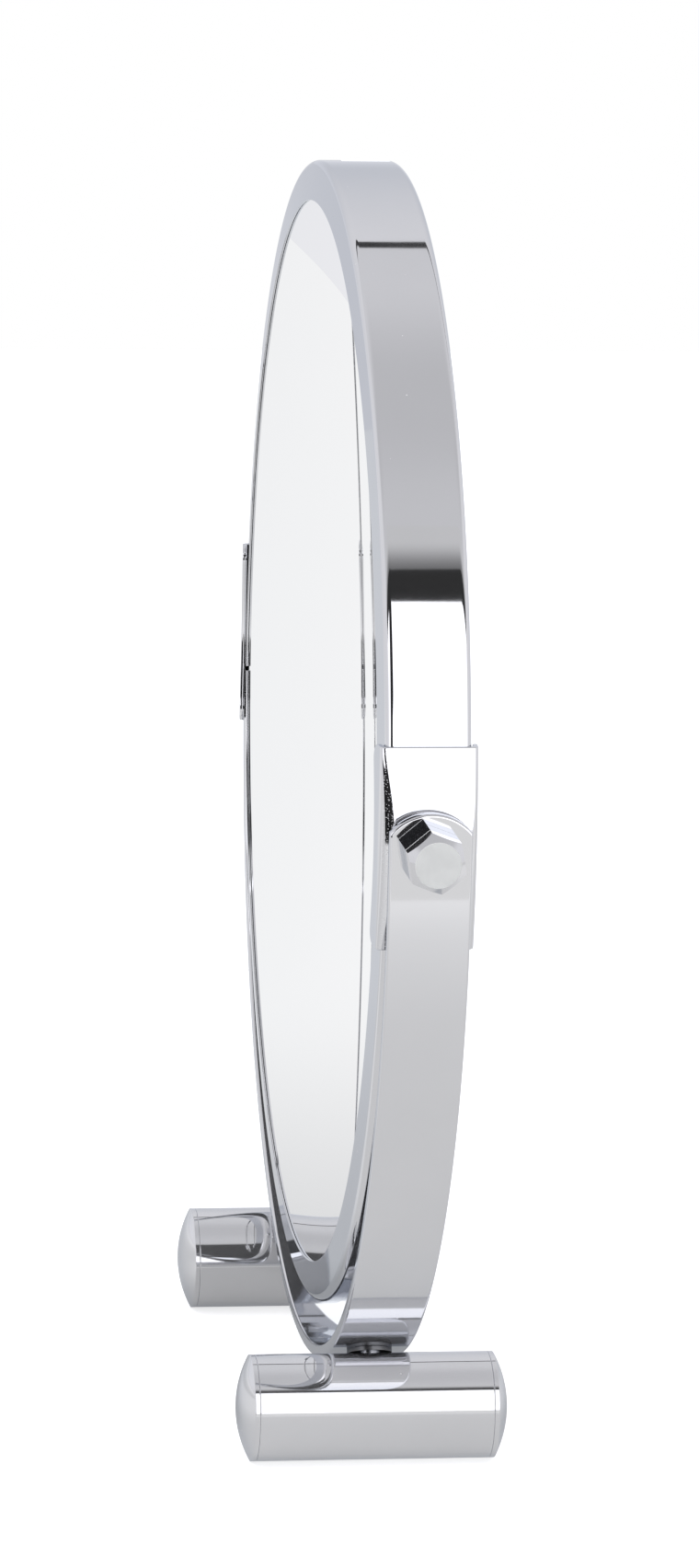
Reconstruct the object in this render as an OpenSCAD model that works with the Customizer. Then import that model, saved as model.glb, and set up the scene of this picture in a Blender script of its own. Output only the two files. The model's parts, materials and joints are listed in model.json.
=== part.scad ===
// Table mirror: a two-sided round mirror head that tilts in a bent strip yoke on two tube feet.
// Millimetres. Z is up and the table top is z = 0. The tilt axis lies along X, and the
// magnifying glass faces -Y. The origin is on the table, midway between the feet.

/* [Ring frame] */
// Outer diameter of the ring
ring_d = 180; // [130:1:260]
// Depth of the ring from front to back
ring_depth = 12.8; // [11.5:0.1:20]
// Sheet thickness of the ring
ring_sheet = 0.8; // [0.6:0.1:1.2]
// Outside radius of the two rolled corners
ring_corner_r = 1.2; // [0.9:0.1:2.5]
// How far the flanges reach in from the outside of the ring
lip_w = 6.3; // [5:0.1:10]
// Gap left between the two ends of the rolled ring
seam_gap = 0.9; // [0.3:0.1:1.5]
// Depth of that gap below the tilt axis
seam_drop = 5.9; // [4.5:0.1:8]

/* [Glasses] */
// Thickness of each glass
glass_t = 2; // [1.5:0.1:2.4]
// Depth of the hollow in the magnifying glass
magnifier_dip = 4.5; // [2:0.1:5.5]
// How far the flange laps over the rim of the magnifying glass
magnifier_lap = 1.5; // [1:0.1:3]
// Radial room between a glass and the wall of the ring
glass_room = 0.7; // [0.3:0.1:1.2]
// Radial width of the spacer ring between the glasses
spacer_w = 5.2; // [4.4:0.1:6]

/* [Clips] */
// Sheet thickness of a clip
clip_sheet = 0.8; // [0.5:0.1:1.2]
// Height of a clip
clip_h = 30.2; // [22:0.1:40]
// How far the cheeks of a clip reach in over the faces of the ring
clip_reach = 4; // [2.5:0.1:6]
// Radius of the inner corners of a cheek
cheek_corner_r = 2.5; // [1:0.1:4]
// Outside radius of the two bends of a clip
clip_bend_r = 1.8; // [1:0.1:2.5]

/* [Pivots] */
// Diameter of a pivot bolt
bolt_d = 5; // [4:0.5:5]
// Width across the flats of the nut and of the bolt head
hex_af = 8; // [7:0.5:10]
// Height of the lock nut
lock_nut_h = 4; // [3:0.1:5]
// Height of the bolt head
bolt_head_h = 3.5; // [2.5:0.1:4.5]
// Height of the flat sides of the bolt head, below its cone
bolt_flat_h = 2; // [1:0.1:2.4]
// Diameter of the flat crown on the bolt head
crown_d = 6.7; // [5:0.1:7]
// Turn of the nut and the bolt head from a corner straight up
hex_turn = 10; // [0:1:59]
// Diameter of the friction washer between clip and yoke
washer_d = 10; // [8:0.5:12]
// Thickness of the friction washer
washer_t = 0.8; // [0.5:0.1:1.5]
// Length of the threaded bar inside the ring, along the ring
anchor_l = 12; // [9:0.5:14]
// Thickness of the threaded bar
anchor_t = 2.5; // [2:0.1:3]

/* [Yoke] */
// Width of the strip
yoke_w = 12.2; // [10:0.1:15]
// Thickness of the strip
yoke_t = 2; // [1.5:0.1:3]
// Rounding of the strip's long edges
yoke_edge_r = 0.4; // [0.2:0.05:0.6]
// Radius of the rounded end of a leg, more than half the strip's width
leg_end_r = 8; // [6.5:0.1:12]
// Height of a leg's end above the tilt axis
leg_end_rise = 6; // [5.5:0.1:10]
// Depth of the half circle's centre below the tilt axis
yoke_drop = 5.2; // [2:0.1:30]

/* [Feet] */
// Outer diameter of a foot tube
foot_d = 16.5; // [12:0.1:24]
// Length of a foot tube between its caps
foot_tube_l = 36.4; // [26:0.1:60]
// Wall of a foot tube
foot_wall = 1; // [0.8:0.1:1.5]
// Distance between the two foot tubes, centre to centre
foot_spread = 87.2; // [60:0.2:110]
// Straight rim of an end cap
cap_rim = 0.8; // [0.5:0.1:2]
// Height of the dome on an end cap
cap_dome = 2.1; // [1:0.1:4]
// Length of an end cap's plug inside the tube
cap_plug_l = 5; // [3:0.5:8]
// Length of the core inside a foot tube
core_l = 16; // [10:0.5:22]
// Diameter of the washer between foot and yoke
foot_washer_d = 7; // [6:0.1:9]
// Thickness of the washer between foot and yoke
foot_washer_t = 0.6; // [0.4:0.1:3]
// Diameter of a foot screw
screw_d = 4; // [3:0.5:4]
// Diameter of the head of a foot screw
screw_head_d = 7.4; // [6.5:0.1:8.5]
// Height of the head of a foot screw
screw_head_h = 2; // [1.2:0.1:2.6]
// Width of the cross recess in the head of a foot screw
recess_w = 0.9; // [0.6:0.1:1.2]

/* [Fits] */
// Gap between flat faces that slide on each other
slide_gap = 0.05; // [0.02:0.01:0.1]
// Radial clearance of a bolt or screw in its hole
hole_clearance = 0.05; // [0.03:0.01:0.1]
// Gap between sheets that are pressed over each other
press_gap = 0.05; // [0.02:0.01:0.1]
// Room round a threaded bar between the glasses
anchor_room = 0.3; // [0.2:0.05:0.5]

/* [Hidden] */
$fn = 96;
ring_r = ring_d / 2;
opening_r = ring_r - lip_w;
ring_wall_r = ring_r - ring_sheet;
ring_half = ring_depth / 2;
glass_r = ring_wall_r - glass_room;
glass_front = ring_half - ring_sheet - press_gap;
glass_back = glass_front - glass_t;
bent_glass_r = opening_r + magnifier_lap;
magnifier_r = (pow(bent_glass_r, 2) + pow(magnifier_dip, 2)) / (2 * magnifier_dip);
spacer_r = glass_r - press_gap;
spacer_in_r = spacer_r - spacer_w;
clip_in_r = ring_r + press_gap;
clip_out_r = clip_in_r + clip_sheet;
clip_half = ring_half + press_gap + clip_sheet;
cheek_r = ring_r - clip_reach;
anchor_face_x = sqrt(pow(ring_wall_r, 2) - pow(anchor_l / 2, 2)) - press_gap;
anchor_in_x = anchor_face_x - anchor_t;
anchor_w = 2 * (glass_back - anchor_room);
washer_x = clip_out_r + slide_gap;
leg_in_x = washer_x + washer_t + slide_gap;
leg_out_x = leg_in_x + yoke_t;
nut_x = leg_out_x + slide_gap;
head_x = nut_x + lock_nut_h;
bolt_r = bolt_d / 2;
hole_r = bolt_r + hole_clearance;
hex_r = hex_af / 2 / cos(30);
foot_r = foot_d / 2;
tube_in_r = foot_r - foot_wall;
plug_r = tube_in_r - press_gap;
foot_x = foot_spread / 2;
foot_reach = leg_out_x + foot_washer_t + foot_r;
foot_angle = asin(foot_x / foot_reach);
arc_z = foot_r + foot_reach * cos(foot_angle);
pivot_z = arc_z + yoke_drop;
leg_top_z = pivot_z + leg_end_rise;
dome_r = (pow(foot_r, 2) + pow(cap_dome, 2)) / (2 * cap_dome);
screw_r = screw_d / 2;
// How far a foot screw runs on past the centre line of its foot
screw_past_centre = 3;
recess_l = screw_head_d * 0.6;
recess_h = screw_head_h * 0.6;
screw_hole_r = screw_r + hole_clearance;
screw_seat_r = sqrt(pow(leg_in_x, 2) - pow(screw_head_d / 2, 2)) - slide_gap;
screw_l = yoke_t + foot_washer_t + foot_r + screw_past_centre;
least_bend_r = 0.2;
// Share of the nut's corners that its chamfer takes off
nut_chamfer = 0.6;
// Angle of a clip's blank that is cut off at each end
clip_waste_angle = 2;
// How far a cone runs on past the corners of a hexagon
past_corner = 0.5;
// How far a cutting shape runs past what it cuts
over = 5;

chrome = [0.8, 0.81, 0.84];
silver = [0.9, 0.92, 0.94];
zinc = [0.84, 0.85, 0.83];
black = [0.12, 0.12, 0.13];

// How much further forward the back of the bent glass lies at its rim than at radius r.
function bend_rise(r) = (pow(bent_glass_r, 2) - pow(r, 2)) / (2 * magnifier_r);

// A rectangle from (x0, y0) to (x1, y1) with all four corners rounded.
module rounded_rect(x0, y0, x1, y1, r) {
    translate([x0 + r, y0]) square([x1 - x0 - 2 * r, y1 - y0]);
    translate([x0, y0 + r]) square([x1 - x0, y1 - y0 - 2 * r]);
    for (x = [x0 + r, x1 - r], y = [y0 + r, y1 - r])
        translate([x, y]) circle(r, $fn = 32);
}

// Turns a section of radius and forward distance round the axis of the mirror.
module spin(from = 0, sweep = 360) {
    rotate([90, 0, 0]) rotate_extrude(angle = sweep, start = from, $fn = 180) children();
}

// Moves what is drawn round the tilt axis to its place in the stand.
module in_head() {
    translate([0, 0, pivot_z]) children();
}

// Repeats a right-hand shape on the given side: 1 is +X and -1 is -X.
module on_side(side) {
    mirror([side < 0 ? 1 : 0, 0, 0]) children();
}

// A round bar along X.
module bar_x(x0, x1, r) {
    translate([x0, 0, 0]) rotate([0, 90, 0]) cylinder(h = x1 - x0, r = r);
}

// The rolled channel: an outer wall and two flanges whose inner edges are rounded.
module channel_section() {
    lip_r = ring_sheet / 2;
    difference() {
        rounded_rect(opening_r - 2 * over, -ring_half, ring_r, ring_half, ring_corner_r);
        rounded_rect(
            opening_r - 3 * over, -ring_half + ring_sheet,
            ring_wall_r, ring_half - ring_sheet, max(ring_corner_r - ring_sheet, least_bend_r)
        );
        translate([0, -ring_half - over]) square([opening_r + lip_r, ring_depth + 2 * over]);
    }
    for (s = [-1, 1])
        translate([opening_r + lip_r, s * (ring_half - lip_r)]) circle(lip_r, $fn = 32);
}

module ring_frame() {
    color(chrome) in_head() difference() {
        spin() channel_section();
        for (side = [-1, 1]) on_side(side) bar_x(ring_r - over, ring_r + over, hole_r);
        translate([-ring_r - over, -ring_half - over, -seam_drop - seam_gap / 2])
            cube([lip_w + 2 * over, ring_depth + 2 * over, seam_gap]);
    }
}

// The magnifying glass is a bent disc: both faces are parts of balls round one centre.
module front_glass() {
    centre_s = glass_front - magnifier_dip + magnifier_r;
    color(silver) in_head() spin() intersection() {
        difference() {
            translate([0, centre_s]) circle(magnifier_r + glass_t, $fn = 360);
            translate([0, centre_s]) circle(magnifier_r, $fn = 360);
        }
        translate([0, -ring_half]) square([bent_glass_r, ring_depth]);
    }
}

module rear_glass() {
    color(silver) in_head() spin()
        translate([0, -glass_front]) square([glass_r, glass_t]);
}

// The ring that keeps the glasses apart, cut away where the threaded bars lie. Its collar goes
// round the rim of the bent glass and centres it.
module spacer_ring() {
    collar_in_r = bent_glass_r + press_gap;
    color(black) in_head() difference() {
        spin() translate([0, -glass_back + press_gap]) {
            translate([spacer_in_r, 0])
                square([spacer_w, 2 * glass_back - 2 * press_gap - bend_rise(spacer_in_r)]);
            translate([collar_in_r, 0])
                square([spacer_r - collar_in_r, glass_back + glass_front - press_gap]);
        }
        for (side = [-1, 1]) on_side(side)
            translate([anchor_in_x - anchor_room, -ring_half, -anchor_l / 2 - anchor_room])
                cube([over + anchor_t, ring_depth, anchor_l + 2 * anchor_room]);
    }
}

// What comes off a clip to leave its upper inner corners round.
module cheek_corner_waste() {
    arc_r = cheek_r + cheek_corner_r;
    z = clip_h / 2 - cheek_corner_r;
    x = sqrt(pow(arc_r, 2) - pow(z, 2));
    difference() {
        polygon([
            [x * cheek_r / arc_r, z * cheek_r / arc_r],
            [x, z],
            [x, z + 2 * cheek_corner_r],
            [x - 2 * cheek_corner_r, z + 2 * cheek_corner_r],
            [x - 2 * cheek_corner_r, z]
        ]);
        translate([x, z]) circle(cheek_corner_r, $fn = 48);
    }
}

module clip(side) {
    reach = asin(clip_h / 2 / cheek_r) + clip_waste_angle;
    color(chrome) in_head() on_side(side) difference() {
        spin(-reach, 2 * reach) difference() {
            rounded_rect(cheek_r - 2 * over, -clip_half, clip_out_r, clip_half, clip_bend_r);
            rounded_rect(
                cheek_r - 3 * over, -clip_half + clip_sheet,
                clip_in_r, clip_half - clip_sheet, max(clip_bend_r - clip_sheet, least_bend_r)
            );
            translate([0, -clip_half - over]) square([cheek_r, 2 * clip_half + 2 * over]);
        }
        for (up = [0, 1]) mirror([0, 0, up]) {
            translate([cheek_r - 3 * over, -clip_half - over, clip_h / 2])
                cube([6 * over, 2 * clip_half + 2 * over, over * 2]);
            rotate([90, 0, 0]) translate([0, 0, -clip_half - over])
                linear_extrude(2 * clip_half + 2 * over) cheek_corner_waste();
        }
        bar_x(ring_r - over, ring_r + over, hole_r);
    }
}

// A threaded bar lies in the channel and spreads the pull of the pivot bolt.
module anchor_bar(side) {
    color(zinc) in_head() on_side(side) difference() {
        translate([anchor_in_x, -anchor_w / 2, -anchor_l / 2])
            cube([anchor_t, anchor_w, anchor_l]);
        bar_x(anchor_in_x - over, ring_r + over, hole_r);
    }
}

// A hexagon along X. A cone takes off its corners from flat_h up and ends in a round top.
module hex_block(x0, flat_h, h, top_r) {
    cone_slope = (h - flat_h) / (hex_r - top_r);
    cone_r = hex_r + past_corner;
    rotate([hex_turn, 0, 0]) intersection() {
        translate([x0, 0, 0]) rotate([0, 90, 0]) cylinder(h = h + over, r = hex_r, $fn = 6);
        rotate([0, 90, 0]) rotate_extrude() polygon([
            [0, x0 - over], [cone_r, x0 - over], [cone_r, x0 + flat_h - cone_slope * past_corner],
            [top_r, x0 + h], [0, x0 + h]
        ]);
    }
}

module pivot_bolt(side) {
    color(zinc) in_head() on_side(side) {
        bar_x(anchor_in_x, head_x + bolt_flat_h / 2, bolt_r);
        hex_block(head_x, bolt_flat_h, bolt_head_h, crown_d / 2);
    }
}

module lock_nut(side) {
    chamfer = (hex_r - hex_af / 2) * nut_chamfer;
    color(chrome) in_head() on_side(side) difference() {
        hex_block(nut_x, lock_nut_h - chamfer / 2, lock_nut_h, hex_r - chamfer);
        bar_x(nut_x - over, head_x + over, hole_r);
    }
}

module friction_washer(side) {
    color(black) in_head() on_side(side) difference() {
        bar_x(washer_x, washer_x + washer_t, washer_d / 2);
        bar_x(washer_x - over, washer_x + washer_t + over, hole_r);
    }
}

module strip_section() {
    rounded_rect(leg_in_x, -yoke_w / 2, leg_out_x, yoke_w / 2, yoke_edge_r);
}

// Puts what is drawn along -Z from the arc's centre on the line to one foot.
module toward_foot(side) {
    translate([0, 0, arc_z]) rotate([0, -side * foot_angle, 0]) children();
}

module yoke() {
    below_end_w = yoke_w / 2 + leg_end_r;
    color(chrome) difference() {
        union() {
            translate([0, 0, arc_z]) spin(180, 180) strip_section();
            for (side = [-1, 1]) on_side(side) intersection() {
                translate([0, 0, arc_z]) linear_extrude(leg_top_z - arc_z) strip_section();
                union() {
                    translate([0, 0, leg_top_z - leg_end_r])
                        bar_x(leg_in_x - over, leg_out_x + over, leg_end_r);
                    translate([leg_in_x - over, -below_end_w / 2, arc_z - over])
                        cube([yoke_t + 2 * over, below_end_w, leg_top_z - leg_end_r - arc_z + over]);
                }
            }
        }
        for (side = [-1, 1]) {
            on_side(side) translate([0, 0, pivot_z])
                bar_x(leg_in_x - over, leg_out_x + over, hole_r);
            toward_foot(side) translate([0, 0, -leg_out_x - over])
                cylinder(h = yoke_t + 2 * over, r = screw_hole_r);
        }
    }
}

// Moves what is drawn round the Y axis to the centre line of one foot.
module at_foot(side) {
    translate([side * foot_x, 0, foot_r]) children();
}

module foot_tube(side) {
    color(chrome) difference() {
        at_foot(side) rotate([90, 0, 0]) difference() {
            cylinder(h = foot_tube_l, r = foot_r, center = true);
            cylinder(h = foot_tube_l + 2 * over, r = tube_in_r, center = true);
        }
        toward_foot(side) translate([0, 0, -foot_reach])
            cylinder(h = foot_r + over, r = screw_hole_r);
    }
}

module foot_core(side) {
    color(zinc) difference() {
        at_foot(side) rotate([90, 0, 0]) cylinder(h = core_l, r = plug_r, center = true);
        toward_foot(side) translate([0, 0, -foot_reach - foot_r])
            cylinder(h = 2 * foot_r, r = screw_hole_r);
    }
}

// An end cap: a hollow plug, a rim flush with the tube and a shallow dome.
module foot_cap(side, end) {
    color(chrome) at_foot(side) mirror([0, end > 0 ? 1 : 0, 0]) rotate([90, 0, 0])
        translate([0, 0, foot_tube_l / 2]) rotate_extrude() difference() {
            union() {
                translate([0, -cap_plug_l]) square([plug_r, cap_plug_l + cap_rim / 2]);
                square([foot_r, cap_rim]);
                intersection() {
                    translate([0, cap_rim + cap_dome - dome_r]) circle(dome_r, $fn = 180);
                    translate([0, cap_rim / 2]) square([foot_r, cap_rim + cap_dome]);
                }
            }
            translate([0, -cap_plug_l - over]) square([plug_r - foot_wall, cap_plug_l + over]);
        }
}

// A plain washer lies flat between the crown of the tube and the underside of the yoke.
module foot_washer(side) {
    color(zinc) toward_foot(side) translate([0, 0, -leg_out_x - foot_washer_t]) difference() {
        cylinder(h = foot_washer_t, r = foot_washer_d / 2);
        translate([0, 0, -over]) cylinder(h = foot_washer_t + 2 * over, r = screw_hole_r);
    }
}

// A pan-head screw that goes down from inside the yoke into the core of a foot.
module foot_screw(side) {
    color(zinc) toward_foot(side) translate([0, 0, -screw_seat_r]) {
        translate([0, 0, -screw_l]) cylinder(h = screw_l + screw_head_h / 4, r = screw_r);
        difference() {
            rotate_extrude() intersection() {
                square([screw_head_d / 2, screw_head_h]);
                translate([0, screw_head_h - screw_head_d]) circle(screw_head_d, $fn = 96);
            }
            for (turn = [0, 90]) rotate([0, 0, turn])
                translate([-recess_l / 2, -recess_w / 2, screw_head_h - recess_h])
                    cube([recess_l, recess_w, recess_h + over]);
        }
    }
}

ring_frame();
front_glass();
rear_glass();
spacer_ring();
clip(1);  // clip_right
clip(-1);  // clip_left
anchor_bar(1);  // anchor_bar_right
anchor_bar(-1);  // anchor_bar_left
pivot_bolt(1);  // pivot_bolt_right
pivot_bolt(-1);  // pivot_bolt_left
lock_nut(1);  // lock_nut_right
lock_nut(-1);  // lock_nut_left
friction_washer(1);  // friction_washer_right
friction_washer(-1);  // friction_washer_left
yoke();
foot_tube(1);  // foot_tube_right
foot_tube(-1);  // foot_tube_left
foot_core(1);  // foot_core_right
foot_core(-1);  // foot_core_left
foot_cap(1, -1);  // foot_cap_right_front
foot_cap(1, 1);  // foot_cap_right_rear
foot_cap(-1, -1);  // foot_cap_left_front
foot_cap(-1, 1);  // foot_cap_left_rear
foot_washer(1);  // foot_washer_right
foot_washer(-1);  // foot_washer_left
foot_screw(1);  // foot_screw_right
foot_screw(-1);  // foot_screw_left
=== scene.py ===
"""A two-sided table mirror: finishes, rolled and bent sheet parts, and a small light tent."""

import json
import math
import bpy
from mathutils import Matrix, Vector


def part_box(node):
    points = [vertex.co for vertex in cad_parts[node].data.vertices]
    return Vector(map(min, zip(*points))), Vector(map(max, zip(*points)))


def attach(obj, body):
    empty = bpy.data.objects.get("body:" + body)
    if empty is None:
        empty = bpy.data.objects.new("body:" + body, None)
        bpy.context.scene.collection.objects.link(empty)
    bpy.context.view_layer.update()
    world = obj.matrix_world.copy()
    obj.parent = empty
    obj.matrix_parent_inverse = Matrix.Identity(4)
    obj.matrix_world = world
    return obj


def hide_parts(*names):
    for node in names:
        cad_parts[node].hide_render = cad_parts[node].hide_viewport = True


bl_info = {
    "name": "Table mirror",
    "version": (1, 0, 0),
    "blender": (4, 5, 0),
    "location": "3D View > Sidebar > Table mirror",
    "description": "Builds the looks of a tilting table mirror round its fixed frame",
    "category": "Object",
}

import bmesh
import bpy
from mathutils import Matrix, Vector

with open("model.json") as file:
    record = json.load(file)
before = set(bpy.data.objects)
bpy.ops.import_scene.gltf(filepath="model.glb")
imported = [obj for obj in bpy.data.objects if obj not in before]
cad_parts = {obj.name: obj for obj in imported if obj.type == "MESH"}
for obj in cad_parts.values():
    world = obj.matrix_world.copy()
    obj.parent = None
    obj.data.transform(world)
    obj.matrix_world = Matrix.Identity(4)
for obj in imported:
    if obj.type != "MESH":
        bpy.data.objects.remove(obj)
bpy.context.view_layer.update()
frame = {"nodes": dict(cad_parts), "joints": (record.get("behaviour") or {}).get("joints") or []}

HEAD = "mirror_head"
STAND = "stand"
MM = 0.001
ALONG_X = (1, 0, 0)
ALONG_Y = (0, 1, 0)
WHITE = (1, 1, 1, 1)

# Places that the frame gives, in metres; LIFT brings what is made round the origin to the tilt axis
PIVOT = Vector(frame["joints"][0]["pos_m"])
LIFT = Matrix.Translation((0, 0, PIVOT.z))
RING_LOW, RING_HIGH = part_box("ring_frame")
RING_R = (RING_HIGH.z - RING_LOW.z) / 2
RING_HALF = (RING_HIGH.y - RING_LOW.y) / 2
CLIP_LOW, CLIP_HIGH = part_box("clip_right")
YOKE_LOW, YOKE_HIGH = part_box("yoke")
TUBE_LOW, TUBE_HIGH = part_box("foot_tube_right")
TUBE_R = (TUBE_HIGH.x - TUBE_LOW.x) / 2
TUBE_X = (TUBE_HIGH.x + TUBE_LOW.x) / 2
CAP_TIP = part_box("foot_cap_right_rear")[1].y
NUT_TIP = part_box("lock_nut_right")[1].x
BOLT_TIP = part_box("pivot_bolt_right")[1].x

# Thickness of each glass, the rounding of its edge and the air between its face and the flange
GLASS_THICK = 2.0 * MM
GLASS_EDGE = 0.15 * MM
GLASS_PLAY = 0.05 * MM

# Height below which the stand's plating is made a little less metallic, a painted lift of light
PAINTED_LIFT_HEIGHT = 45 * MM

# Sockets of a colour mix node, which has others of the same names
MIX_FACTOR, MIX_ONE, MIX_OTHER, MIX_RESULT = 0, 6, 7, 2


# Shader maths

class Signal:
    """A number that runs through a node tree; arithmetic on it adds the Math nodes."""

    def __init__(self, wiring, socket):
        self.wiring = wiring
        self.socket = socket

    def __add__(self, other):
        return self.wiring.maths("ADD", self, other)

    __radd__ = __add__

    def __sub__(self, other):
        return self.wiring.maths("SUBTRACT", self, other)

    def __rsub__(self, other):
        return self.wiring.maths("SUBTRACT", other, self)

    def __mul__(self, other):
        return self.wiring.maths("MULTIPLY", self, other)

    __rmul__ = __mul__

    def __gt__(self, other):
        return self.wiring.maths("GREATER_THAN", self, other)

    def __abs__(self):
        return self.wiring.maths("ABSOLUTE", self)

    def high(self, other):
        """The larger of the two."""
        return self.wiring.maths("MAXIMUM", self, other)

    def low(self, other):
        """The smaller of the two."""
        return self.wiring.maths("MINIMUM", self, other)

    def rise(self, start, end, low=0.0, high=1.0):
        """Goes smoothly from low to high while this number goes from start to end."""
        if start > end:
            start, end, low, high = end, start, high, low
        return self.wiring.signal(
            "ShaderNodeMapRange",
            {"interpolation_type": "SMOOTHSTEP"},
            {"Value": self, "From Min": start, "From Max": end, "To Min": low, "To Max": high},
            out="Result",
        )

    def band(self, start, end, soft):
        """One between start and end, nought outside them, with soft edges."""
        return self.rise(start - soft, start + soft) * self.rise(end + soft, end - soft)


class Wiring:
    """Adds nodes to one node tree."""

    def __init__(self, tree):
        self.tree = tree
        tree.nodes.clear()

    def node(self, kind, settings=None, inputs=None):
        """One node: first its settings, then the values or links of its sockets."""
        made = self.tree.nodes.new(kind)
        for name, value in (settings or {}).items():
            setattr(made, name, value)
        for name, value in (inputs or {}).items():
            if isinstance(value, Signal):
                value = value.socket
            if isinstance(value, bpy.types.NodeSocket):
                self.tree.links.new(value, made.inputs[name])
            else:
                made.inputs[name].default_value = value
        return made

    def signal(self, kind, settings=None, inputs=None, out="Value"):
        """One node, as the number that one of its outputs gives."""
        return Signal(self, self.node(kind, settings, inputs).outputs[out])

    def maths(self, operation, *values):
        """A number worked out from numbers and signals, in the order given."""
        return self.signal("ShaderNodeMath", {"operation": operation}, dict(enumerate(values)))

    def mix(self, factor, one, other):
        """One colour where factor is 0 and the other where it is 1."""
        sockets = {MIX_FACTOR: factor, MIX_ONE: one, MIX_OTHER: other}
        return self.node("ShaderNodeMix", {"data_type": "RGBA"}, sockets).outputs[MIX_RESULT]

    def noise(self, place, scale, detail=2.0, roughness=0.5):
        """Cloudy noise with about scale waves in a metre."""
        return self.signal(
            "ShaderNodeTexNoise",
            {"normalize": True},
            {"Vector": place, "Scale": scale, "Detail": detail, "Roughness": roughness},
            out="Fac",
        )

    def place(self):
        """Where a point lies on its piece, which does not change when the piece moves."""
        return self.node("ShaderNodeTexCoord").outputs["Object"]

    def axes(self, vector):
        """A vector's three numbers."""
        parts = self.node("ShaderNodeSeparateXYZ", inputs={"Vector": vector})
        return [Signal(self, parts.outputs[axis]) for axis in "XYZ"]

    def bump(self, height):
        """The normal of a surface with this height in millimetres."""
        sockets = {"Strength": 1.0, "Distance": MM, "Height": height}
        return self.node("ShaderNodeBump", inputs=sockets).outputs["Normal"]

    def glow(self, strength, colour=WHITE):
        """A shader that only shines."""
        return self.node("ShaderNodeEmission", inputs={"Color": colour, "Strength": strength})

    def end_with(self, shader, kind="ShaderNodeOutputMaterial"):
        """Joins a shader to the tree's output."""
        self.node(kind, inputs={"Surface": shader.outputs[0]})


def new_material(name, viewport):
    """A material that the viewport shows in one colour, and the wiring of its tree."""
    made = bpy.data.materials.new(name)
    made.use_nodes = True
    made.diffuse_color = viewport
    return made, Wiring(made.node_tree)


def solid(colour, share=1.0):
    """An opaque colour, made darker or lighter by a share."""
    return (*[part * share for part in colour], 1.0)


def specks(wiring, place, scale, size, share):
    """Tiny round specks: one in each cell of a grid, of which only a share is kept."""
    cells = wiring.node(
        "ShaderNodeTexVoronoi", {"feature": "F1"}, {"Vector": place, "Scale": scale}
    )
    near = Signal(wiring, cells.outputs["Distance"]).rise(size, size * 0.5)
    chance = wiring.signal(
        "ShaderNodeSeparateColor", inputs={"Color": cells.outputs["Color"]}, out="Red"
    )
    return near * (chance > 1.0 - share)


def plated_metal(
    name, looks, lightness=1.0, ripple=0.0022, gloss_loss=0.035, speck_share=0.04, pit_share=0.0,
    glint_span=None, painted_lift_below=None
):
    """Bright plating over sheet: waves from rolling, a fine skin, a faint haze and specks.

    ripple is the height of the waves in millimetres, and gloss_loss the least roughness. Of the
    cells of a fine grid, speck_share hold a speck, and pit_share hold a pit where a clip's front
    bend is pressed. glint_span gives the distances from the middle, along X, of a painted
    highlight: a band made dull and light that stands in for a lit groove at an edge. Below the
    height painted_lift_below the plating is made a little less metallic, a painted lift of light
    in its dark reflections low down.
    """
    tone = [part * lightness for part in looks.chrome]
    made, wiring = new_material(name, solid(tone))
    place = wiring.place()
    waves = wiring.noise(place, 170.0, 1.0) * 1.5 + wiring.noise(place, 55.0, 0.0) * 14.0
    skin = wiring.noise(place, 900.0)
    haze = wiring.noise(place, 60.0, 3.0).rise(0.35, 0.75)
    dust = specks(wiring, place, scale=700.0, size=0.1, share=speck_share)
    pale = dust * 0.8
    if pit_share:
        pressed = wiring.axes(place)[1].band(-6.8 * MM, -4.9 * MM, 0.2 * MM)
        pits = specks(wiring, place, scale=4200.0, size=0.42, share=pit_share)
        pale = pale.high(pits * pressed * 0.6)
    # Painted highlight: a light, dull band along an edge, standing in for a lit groove
    if glint_span:
        groove_glint = abs(wiring.axes(place)[0]).band(*glint_span, 0.05 * MM)
        pale = pale.high(groove_glint * 0.8)
    dull = pale * 0.9
    # Painted light: low down the plating is less metallic, so dark low reflections come out lighter
    if painted_lift_below:
        fade = 19.0 * MM
        low_lift = wiring.axes(place)[2].rise(painted_lift_below, painted_lift_below - fade)
        dull = dull.high(low_lift * 0.11)
    height = waves * ripple + skin * looks.skin_depth + dust * looks.speck_height
    shade = wiring.mix(haze * 0.5, solid(tone), solid(tone, 0.965))
    shade = wiring.mix(pale, shade, (0.9, 0.9, 0.9, 1.0))
    shader = wiring.node(
        "ShaderNodeBsdfPrincipled",
        inputs={
            "Base Color": shade,
            "Specular Tint": solid(looks.chrome_rim),
            "Metallic": 1.0 - dull,
            "Roughness": (haze * 0.02 + pale * 0.4 + gloss_loss).low(1.0),
            "Normal": wiring.bump(height),
        },
    )
    wiring.end_with(shader)
    return made


def dress(node_name, material):
    """Gives a frame node its finish."""
    for slot in frame["nodes"][node_name].material_slots:
        slot.material = material


# Meshes

def finished(name, mesh, material, body, slot, *nodes):
    """Puts a mesh into the scene as a piece that rides on a body and stands for frame nodes."""
    mesh.name = name
    made = bpy.data.objects.new(name, mesh)
    bpy.context.scene.collection.objects.link(made)
    mesh.materials.clear()
    mesh.materials.append(material)
    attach(made, body)
    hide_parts(*nodes)


def shape_mesh(shape):
    """A mesh from a shape: its points, the shading normal of each point, and its faces."""
    points, normals, faces = shape
    made = bpy.data.meshes.new("mesh")
    made.from_pydata([tuple(p) for p in points], [], faces)
    made.update()
    made.polygons.foreach_set("use_smooth", [True] * len(made.polygons))
    made.normals_split_custom_set_from_vertices([tuple(n) for n in normals])
    return made


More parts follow.
